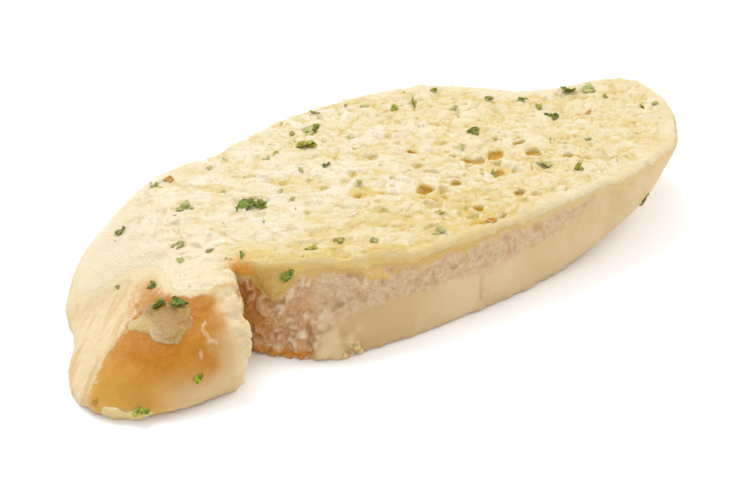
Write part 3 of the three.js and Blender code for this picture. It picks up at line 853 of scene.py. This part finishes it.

# %% [markdown]
# Butter is pale where it is whipped and a deeper yellow where it has melted into pools. That deeper yellow
# is also painted shade in pores and hollows, in every crease, along the near rim and over the front of the
# top. Where it lies thin it is sheer, and the bread's colour comes through. Real transparency would show
# the underside of the layer, so sheer butter gets the mixed colour instead. It is soft and slightly shiny,
# and light goes a little way into it.

# %% Butter finish
butter_finish, shader, start = new_finish("garlic butter")
whipped = start.grain(6 * MM).rise(0.35, 0.65)
cream = whipped.blend(colour(243, 227, 187), colour(248, 238, 211))
cream = start.mask("rich").blend(cream, whipped.blend(colour(240, 219, 169), colour(247, 231, 193)))
# Deeper yellow for pools of melted butter, and for painted shade
melted = start.mask("pooled_and_shade").rise(0, 0.75).blend(cream, colour(231, 201, 112))
melted = start.mask("pooled_and_shade").rise(0.7, 1).blend(melted, colour(222, 170, 20))
melted = start.mask("runny").blend(melted, colour(238, 198, 102))
# Paler where the butter thins at its edge; on the slope this paler cream is painted light that lifts it out
# of shade
melted = start.mask("thin_edge_and_lit_slope").blend(melted, colour(253, 234, 196))
melted = start.mask("syrup").blend(melted, colour(238, 168, 20))
melted = start.mask("sheer").blend(melted, colour(174, 126, 0))
drive(shader, start, "Base Color", start.mask("film").blend(melted, colour(208, 146, 54)))
drive(shader, start, "Roughness", 0.42 - start.mask("pooled_and_shade") * 0.16)
shader.inputs["Subsurface Weight"].default_value = 0.55
shader.inputs["Subsurface Radius"].default_value = (1.0, 0.8, 0.35)
shader.inputs["Subsurface Scale"].default_value = 1.3 * MM
shader.inputs["Specular IOR Level"].default_value = 0.45
bump(shader, start, start.grain(0.6 * MM, 4), 0.34 * MM)
print("butter finish:", len(start.tree.nodes), "shader nodes")

# %% The spread with its masks
CORNER_POOL = (-39.4, -17.6)

# Painted shade in the valleys between grains and in the wrinkles
crease_shade = 0.36 * smooth(wide_grains, 0.18, 0.04) + 0.18 * smooth(small_grains, 0.18, 0.04)
crease_shade += 0.25 * creamy * wrinkles
stains = 0.15 * smooth(lumps(points + drift(points, 2, 4, 98), 4.5, 108), 0.1, 0.6)
frontward = smooth(y, -8, -18)
front = frontward * smooth(x, 30, 10)
rightward = smooth(x, 0, 32)
# Pools of melted butter, with painted shade in the hollows and pores
pooled_and_shade = 0.4 * skin["hollows"] + 0.35 * pooling + 0.85 * pored
# Painted shade in every crease, and stains at random
pooled_and_shade += inner * ((1 - 0.4 * creamy) * crease_shade + stains)
# Painted shade along the near rim and over the front of the top
pooled_and_shade += (0.1 + 0.25 * front) * smooth(skin["from_rim"], 4.0, 0.5) * upward + 0.2 * front * inner
runny = (1 - upward) * (0.6 + 0.15 * lumps(points, 4, 107)) * smooth(x, -52, -44)
runny = (runny + 0.3 * skin["shoulder"]) * (1 - 0.35 * rightward) * (0.3 + 0.7 * smooth(y, 6, -6))
corner = smooth(from_place(points, CORNER_POOL), 4.0, 1.2)
edge = smooth(depth, 2.4, 0.1) * smooth(y, -14, -18) * smooth(x, -40, -38) * (1 - np.clip(3 * drip, 0, 1))
butter_masks = {"pooled_and_shade": np.clip(pooled_and_shade, 0, 1), "syrup": corner * (1 - 0.5 * upward)}
butter_masks["runny"] = np.clip(runny, 0, 1)
# Paler thin edge on the right, and painted light over the slope, most where the butter thins
butter_masks["thin_edge_and_lit_slope"] = np.maximum(0.2 * edge * rightward, (0.5 + 0.5 * smooth(depth, 6, 0.5)) * slope)
butter_masks["rich"] = np.maximum(0.8 * smooth(x, -12, 32), 0.75 * frontward) * (1 - slope)
butter_masks["sheer"] = 0.36 * running
butter_masks = {name: values[used] for name, values in butter_masks.items()}
make_piece(
    "butter_spread", layer, layer_faces, butter_finish, butter_masks, ["garlic_butter"]
)

# %% [markdown]
# ## Dabs of butter on the crust
# Two dabs fell beside the spread: one slid a little way down the browned lobe, and one lies along its foot.
# Each is a patch of the same skin, lifted like the spread, so it hugs the crust that it lies on. The one on
# the lobe is sheer, with a paler rim that is a painted highlight, and a creamy left end.

# %% Two dabs
DAB_PLAN = [
    (-61.5, -16), (-64, -17.2), (-62.7, -20.8), (-61.8, -24), (-60.9, -26.8), (-59.2, -28.7),
    (-57.5, -27.7), (-55.5, -25.3), (-53.9, -23.4), (-54.6, -20.6), (-56.3, -17.8), (-59, -14.6),
]
DAB_LOWEST = 8
FOOT_FROM = np.array([-75.0, -28.6, 1.0])
FOOT_TO = np.array([-68.2, -33.7, 1.0])
FOOT_WIDTH = 1.6
OUTSIDE = -9

uneven = 0.9 * lumps(points, 3.2, 141) + 0.7 * lumps(points, 1.5, 142)
on_lobe = np.where(z > DAB_LOWEST, inside(points, DAB_PLAN) + 0.9 * uneven + 0.5, OUTSIDE)
at_foot = FOOT_WIDTH - from_segment(points, FOOT_FROM, FOOT_TO) + 0.4 * uneven
leftward = smooth(x + 0.5 * uneven, -59.6, -62.6)
thinner = 0.9 + 0.1 * lumps(points, 2.2, 146)
dabs = {"dab_on_crust": (on_lobe, 0.9, 1.0, "butter_dab_crust")}
dabs["dab_at_foot"] = (at_foot, 0.6, 0.3, "butter_dab_foot")
for name, (depth, height, clear, node) in dabs.items():
    share, sunk = thinning(depth, 1.5, 0.9, 0.5)
    over = (height + 0.3 * lumps(points, 2.4, 143)) * share + sunk
    patch, patch_faces, used = closed_layer(skin, depth, over)
    patch[:, 2] = np.maximum(patch[:, 2], 0.02)
    # A paler rim round the dab: a painted highlight on its edge
    dab_rim_highlight = smooth(depth + 0.6 * lumps(points, 1.6, 145), 1.0, 0.2)
    dab_masks = {"pooled_and_shade": np.clip(0.4 + 0.3 * lumps(points, 2.6, 144), 0, 1)[used]}
    dab_masks["sheer"] = (clear * thinner * (1 - 0.45 * dab_rim_highlight) * (1 - 0.75 * leftward))[used]
    dab_masks["film"] = (0.35 * (clear > 0.5) * smooth(depth, 0.5, 0.0))[used]
    dab = make_piece(name, patch, patch_faces, butter_finish, dab_masks, [node])
    dab.modifiers.new("finer", "SUBSURF").levels = 1

# %% [markdown]
# ## Chopped parsley
# Each scrap of parsley is a ragged, crinkled piece of leaf with a fold along its vein, and the larger ones
# are a few scraps that cling together. They lie where the solids have them, and small flecks are scattered
# between. Some are fresh and dark, some olive, some so coated with butter that they look grey-green, and a
# few are dried and brown. Each row gives a place and a size in millimetres, a turn in degrees and a look.
# Those on the crust have a height in place of the second number.

# %% Where the parsley lies
FRESH, OLIVE, COATED, DRIED = (0.2, 0.05, 0), (0.85, 0.1, 0), (0.35, 0.55, 0), (0.6, 0.1, 1)
PARSLEY = [
    [-28.4, 2.0, 3.6, 20, FRESH], [-26.0, 0.6, 3.4, 80, FRESH], [0.2, 24.7, 3.2, 10, FRESH],
    [-1.6, 23.7, 2.6, 60, COATED], [-5.3, 18.3, 3.4, 0, OLIVE], [4.2, 31.1, 2.0, 40, OLIVE],
    [15.8, 28.9, 2.2, 0, COATED], [26.2, 24.0, 2.4, 30, OLIVE], [33.2, 26.7, 2.4, 70, OLIVE],
    [42.0, 16.6, 2.2, 15, FRESH], [48.3, 12.7, 2.4, 0, FRESH], [49.5, 7.2, 2.2, 50, OLIVE],
    [49.9, 2.5, 2.6, 20, FRESH], [59.8, 10.7, 3.0, 80, FRESH], [64.4, 8.9, 3.0, 30, COATED],
    [66.0, 4.5, 1.8, 0, OLIVE], [30.8, 5.9, 3.0, 10, FRESH], [24.1, -0.3, 2.0, 45, COATED],
    [35.9, -15.3, 2.8, 10, COATED], [40.5, -21.0, 2.6, 60, OLIVE], [1.7, -27.4, 2.6, 70, COATED],
    [5.5, -21.2, 1.8, 20, OLIVE], [13.4, -28.9, 1.8, 0, DRIED], [-18.1, -20.0, 2.0, 0, OLIVE],
    [-24.4, -20.0, 2.0, 35, OLIVE], [-11.7, -23.7, 1.8, 10, COATED], [-42.4, -9.6, 1.8, 0, COATED],
    [-46.6, -3.2, 2.0, 50, COATED], [-55.6, -9.4, 2.4, 20, FRESH], [-53.1, 12.1, 2.6, 70, FRESH],
    [-41.0, 20.6, 2.2, 30, COATED], [-39.9, 7.3, 2.8, 25, COATED], [-2.8, -1.5, 2.0, 0, OLIVE],
    [-5.4, 8.5, 2.0, 15, FRESH],
]
DAB_PARSLEY = [
    [-55.2, -20.8, 3.2, 10, FRESH], [-58.0, -17.8, 2.6, 60, FRESH], [-69.6, -33.1, 2.6, 20, OLIVE],
]
SMALL_PARSLEY = [
    [-37.8, 19.7, 1.7, 10, DRIED], [-27.7, 20.5, 1.4, 0, COATED], [-30.0, 9.4, 1.6, 60, COATED],
    [-19.4, 3.5, 1.6, 0, COATED], [-5.3, 24.5, 1.6, 20, OLIVE], [-12.4, 18.9, 1.3, 80, OLIVE],
    [-15.2, 17.7, 1.8, 30, COATED], [5.6, 17.1, 1.8, 0, COATED], [20.9, 24.0, 1.7, 40, OLIVE],
    [11.9, 30.5, 1.2, 0, DRIED], [-11.1, 9.4, 1.2, 50, COATED], [-18.1, -0.3, 1.2, 0, COATED],
    [-48.2, -7.8, 1.8, 20, COATED], [32.4, 16.9, 2.0, 70, COATED], [58.1, -0.1, 1.5, 30, DRIED],
    [70.9, -3.8, 2.0, 45, OLIVE], [74.2, -3.9, 1.2, 0, COATED], [50.4, -10.5, 1.6, 60, COATED],
    [24.5, -12.1, 1.2, 0, OLIVE], [-38.5, -16.2, 1.8, 60, FRESH], [-59.6, -1.0, 1.0, 0, FRESH],
]
CRUST_PARSLEY = [
    [-57.8, 7.3, 1.7, 30, OLIVE], [-76.2, 3.0, 1.1, 70, DRIED], [56.2, 9.0, 2.4, 60, OLIVE],
    [-32.2, 16.6, 2.6, 25, FRESH],
]
print("leaves:", len(PARSLEY + DAB_PARSLEY + SMALL_PARSLEY + CRUST_PARSLEY))

# %% [markdown]
# A scrap is three rings of points with a ragged outline, folded along its vein and crinkled by waves. A
# flat card with a picture of a leaf would be simpler, but scraps are seen from close by and need real
# edges.

# %% A scrap of leaf
LEAF_SIDES = 18
LEAF_RINGS = (0.35, 0.7, 1.0)
LEAF_THICKNESS = 0.14


def leaf_scrap(draw, size):
    """One crinkled scrap lying flat, as points and triangles; its underside is a copy just below."""
    turn = np.arange(LEAF_SIDES) * 2 * np.pi / LEAF_SIDES
    lobes = 0.8 + 0.1 * np.sin(3 * turn + draw.uniform(0, 6)) + draw.uniform(-0.14, 0.14, LEAF_SIDES)
    rings = [np.column_stack([np.cos(turn), np.sin(turn)]) * (lobes * ring)[:, None] for ring in LEAF_RINGS]
    plan = np.concatenate([[[0, 0]], *rings]) * 0.5 * size * (1.25, draw.uniform(0.5, 0.95))
    along, across = plan[:, 0] / size, plan[:, 1] / size
    crinkle = np.sin(9 * along + draw.uniform(0, 6)) * np.cos(10 * across + draw.uniform(0, 6))
    fold = draw.uniform(0.1, 0.5) * np.abs(across) + draw.uniform(-0.2, 0.2) * along
    top = np.column_stack([plan, size * (fold + 0.1 * crinkle)])
    middle = np.zeros(LEAF_SIDES, int)
    rows = [1 + LEAF_SIDES * ring + np.arange(LEAF_SIDES) for ring in range(len(LEAF_RINGS))]
    upper = [np.column_stack((middle, rows[0], np.roll(rows[0], -1)))]
    for near, far in zip(rows[:-1], rows[1:]):
        upper.append(np.column_stack((near, far, np.roll(far, -1))))
        upper.append(np.column_stack((near, np.roll(far, -1), np.roll(near, -1))))
    upper, count, edge = np.concatenate(upper), len(top), rows[-1]
    after = np.roll(edge, -1)
    side = [np.column_stack((edge, edge + count, after + count))]
    side.append(np.column_stack((edge, after + count, after)))
    faces = np.concatenate([upper, upper[:, ::-1] + count, *side])
    return np.concatenate([top, top - (0, 0, LEAF_THICKNESS)]), faces


# %% [markdown]
# A leaf is dropped onto the slice from above, or pushed against the near side from the front, and lies flat
# on what it meets first. A particle system would scatter leaves too, but not at chosen places. The smallest
# flecks stay only where they land on the spread.

# %% How a leaf is laid
CARRIERS = ("butter_spread", "bread", "dab_on_crust", "dab_at_foot")
DOWN = Vector((0, 0, -1))
BACK = Vector((0, 1, 0))
HIGH = 60
LEAF_SPREAD = 1.3
LEAF_LIFT = 0.12
LOOK_VARIES = 0.15
CLINGING_FROM = (2.3, 3.1)
CLINGING_SIZE = 0.75
CLINGING_LIFT = 0.15
HALF_TURN = (0, 180)

leaf_draw = np.random.default_rng(7)
shown = bpy.context.evaluated_depsgraph_get()
surfaces = {name: BVHTree.FromObject(bpy.data.objects[name], shown) for name in CARRIERS}
leaf_points, leaf_faces, leaf_masks = [], [], {"tone": [], "coat": [], "dried": []}


def first_hit(origin, direction):
    """The nearest surface that a ray meets, with the point and normal there, or None."""
    start = Vector(origin) * MM
    hits = [(surface.ray_cast(start, direction), name) for name, surface in surfaces.items()]
    hits = [(hit[3], name, hit[0], hit[1]) for hit, name in hits if hit[0] is not None]
    return min(hits)[1:] if hits else None


def lay_scrap(spot, normal, size, turn, lift, look):
    """Adds one scrap on a surface, turned about its normal and lifted off it."""
    scrap, triangles = leaf_scrap(leaf_draw, size)
    cosine, sine = math.cos(math.radians(turn)), math.sin(math.radians(turn))
    spin = np.array([[cosine, -sine, 0], [sine, cosine, 0], [0, 0, 1]])
    tilt = np.array(normal.to_track_quat("Z", "Y").to_matrix())
    leaf_faces.append(triangles + sum(len(laid) for laid in leaf_points))
    leaf_points.append((scrap + (0, 0, lift)) @ (tilt @ spin).T + np.array(spot) / MM)
    varied = np.clip(np.array(look) + leaf_draw.uniform(-LOOK_VARIES, LOOK_VARIES, 3), 0, 1)
    for mask, value in zip(leaf_masks, varied):
        leaf_masks[mask].append(np.full(len(scrap), value))


def lay_leaf(spot, normal, size, turn, look):
    """Adds a scrap, or for a large leaf a few that cling together and stand up a little."""
    lay_scrap(spot, normal, LEAF_SPREAD * size, turn, LEAF_LIFT, look)
    for _ in range(sum(size > limit for limit in CLINGING_FROM)):
        aside = Vector(leaf_draw.uniform(-0.25, 0.25, 3) * size * MM)
        leaning = (normal + Vector(leaf_draw.uniform(-0.3, 0.3, 3))).normalized()
        own_turn = leaf_draw.uniform(*HALF_TURN)
        lay_scrap(spot + aside, leaning, CLINGING_SIZE * size, own_turn, CLINGING_LIFT, look)


# %% All the leaves and flecks
FLECKS = 50
FLECK_ALONG = (-58, 68)
FLECK_ACROSS = (-30, 30)
FLECK_SIZE = (0.4, 0.95)
FLECK_LIFT = 0.02

for along, across, size, turn, look in PARSLEY + DAB_PARSLEY + SMALL_PARSLEY:
    _, spot, normal = first_hit((along, across, HIGH), DOWN)
    lay_leaf(spot, normal, size, turn, look)
for along, height, size, turn, look in CRUST_PARSLEY:
    _, spot, normal = first_hit((along, -2 * HIGH, height), BACK)
    lay_leaf(spot, normal, size, turn, look)
for _ in range(FLECKS):
    along, across = leaf_draw.uniform(*FLECK_ALONG), leaf_draw.uniform(*FLECK_ACROSS)
    size, turn = leaf_draw.uniform(*FLECK_SIZE), leaf_draw.uniform(*HALF_TURN)
    hit = first_hit((along, across, HIGH), DOWN)
    if hit and hit[0] == "butter_spread":
        lay_scrap(hit[1], hit[2], size, turn, FLECK_LIFT, COATED)
print("scraps of parsley:", len(leaf_points))

# %% [markdown]
# Fresh leaf is a dark green with paler patches, and it turns olive as the butter soaks in. A coat of butter
# makes it paler and a little smoother, and a dried scrap is brown.

# %% Parsley finish
parsley_finish, shader, start = new_finish("parsley")
patches = start.grain(0.8 * MM).rise(0.38, 0.56)
fresh = patches.blend(colour(40, 70, 8), colour(112, 138, 20))
olive = patches.blend(colour(118, 130, 16), colour(190, 188, 40))
green = start.mask("dried").blend(start.mask("tone").blend(fresh, olive), colour(212, 134, 34))
drive(shader, start, "Base Color", start.mask("coat").blend(green, colour(226, 222, 150)))
drive(shader, start, "Roughness", 0.5 - start.mask("coat") * 0.15)
shader.inputs["Specular IOR Level"].default_value = 0.25
bump(shader, start, start.grain(0.45 * MM), 0.1 * MM)
print("parsley finish:", len(start.tree.nodes), "shader nodes")

# %% The parsley as one piece
LEAF_HIGHEST = 20.3

parsley_masks = {name: np.concatenate(values) for name, values in leaf_masks.items()}
leaves = np.concatenate(leaf_points)
leaves[:, 2] = np.minimum(leaves[:, 2], LEAF_HIGHEST)
make_piece("parsley", leaves, np.concatenate(leaf_faces), parsley_finish, parsley_masks)

# %% [markdown]
# ## Crumbs
# A torn slice drops crumbs. Some cling to the crust below the tear, stuck there with butter, and a few lie
# at its foot. Each is a small ball that noise has made ragged. They are bread, so they take its finish.

# %% Crumbs on the crust and at its foot
CRUMBS = 9
CRUMB_ALONG = (-25, -20.5)
CRUMB_HEIGHT = (0.2, 5.0)
CRUMB_SIZE = (0.4, 0.95)
CRUMB_STRETCH = (0.7, 1.25)
CRUMB_RAGGED = 0.55
CRUMB_SUNK = 0.1
CRUMB_LOOKS = {"torn": 0.3, "soaked": 0.6, "creamed": 0.4}

crumb_draw = np.random.default_rng(11)
ball = bpy.data.meshes.new("ball")
ball_maker = bmesh.new()
bmesh.ops.create_icosphere(ball_maker, subdivisions=3, radius=MM)
ball_maker.to_mesh(ball)
ball_maker.free()
ball_points = np.array([list(vertex.co) for vertex in ball.vertices]) / MM
ball_faces = np.array([list(face.vertices) for face in ball.polygons])
crumb_points, crumb_faces = [], []
for index in range(CRUMBS):
    size = crumb_draw.uniform(*CRUMB_SIZE)
    lump = ball_points * size * crumb_draw.uniform(*CRUMB_STRETCH, 3)
    lump = lump * (1 + CRUMB_RAGGED * lumps(lump + 10 * index, 0.8, 151))[:, None]
    along = crumb_draw.uniform(*CRUMB_ALONG)
    height = max(0.5 * size, crumb_draw.uniform(*CRUMB_HEIGHT))
    _, spot, normal = first_hit((along, -2 * HIGH, height), BACK)
    lump += np.array(spot) / MM - CRUMB_SUNK * size * np.array(normal)
    lump[:, 2] = np.maximum(lump[:, 2], 0)
    crumb_faces.append(ball_faces + index * len(ball_points))
    crumb_points.append(lump)
crumbs = np.concatenate(crumb_points)
crumb_masks = {name: np.full(len(crumbs), share) for name, share in CRUMB_LOOKS.items()}
make_piece("crumbs", crumbs, np.concatenate(crumb_faces), bread_finish, crumb_masks)
